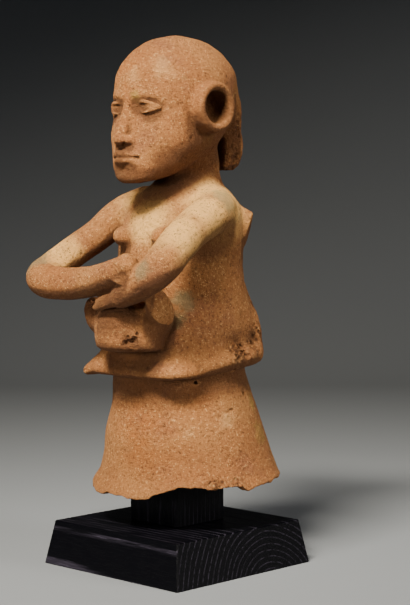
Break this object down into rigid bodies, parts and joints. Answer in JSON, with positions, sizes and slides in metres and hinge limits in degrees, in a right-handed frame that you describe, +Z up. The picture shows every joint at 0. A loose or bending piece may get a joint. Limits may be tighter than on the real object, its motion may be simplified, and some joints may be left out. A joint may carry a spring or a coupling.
{
  "type": "terracotta statue",
  "caption": "Hollow terracotta half figure with folded arms and ring-shaped ears, broken at the hem, held up by a post on a square black wooden base.",
  "frame": {"origin": "centre of the underside of the wooden base", "axes": "+Z up, the figure faces -Y, and its left arm is on the +X side"},
  "size_m": [0.2059, 0.232, 0.53],
  "materials": {
    "terracotta": "unglazed fired clay, sandy and matt, with pale grit, dark pits and grey-green patina",
    "black_wood": "black-stained open-grain wood, satin"
  },
  "bodies": {
    "root": {"figure": "terracotta", "stand_base": "black_wood", "stand_post": "black_wood"}
  },
  "joints": []
}
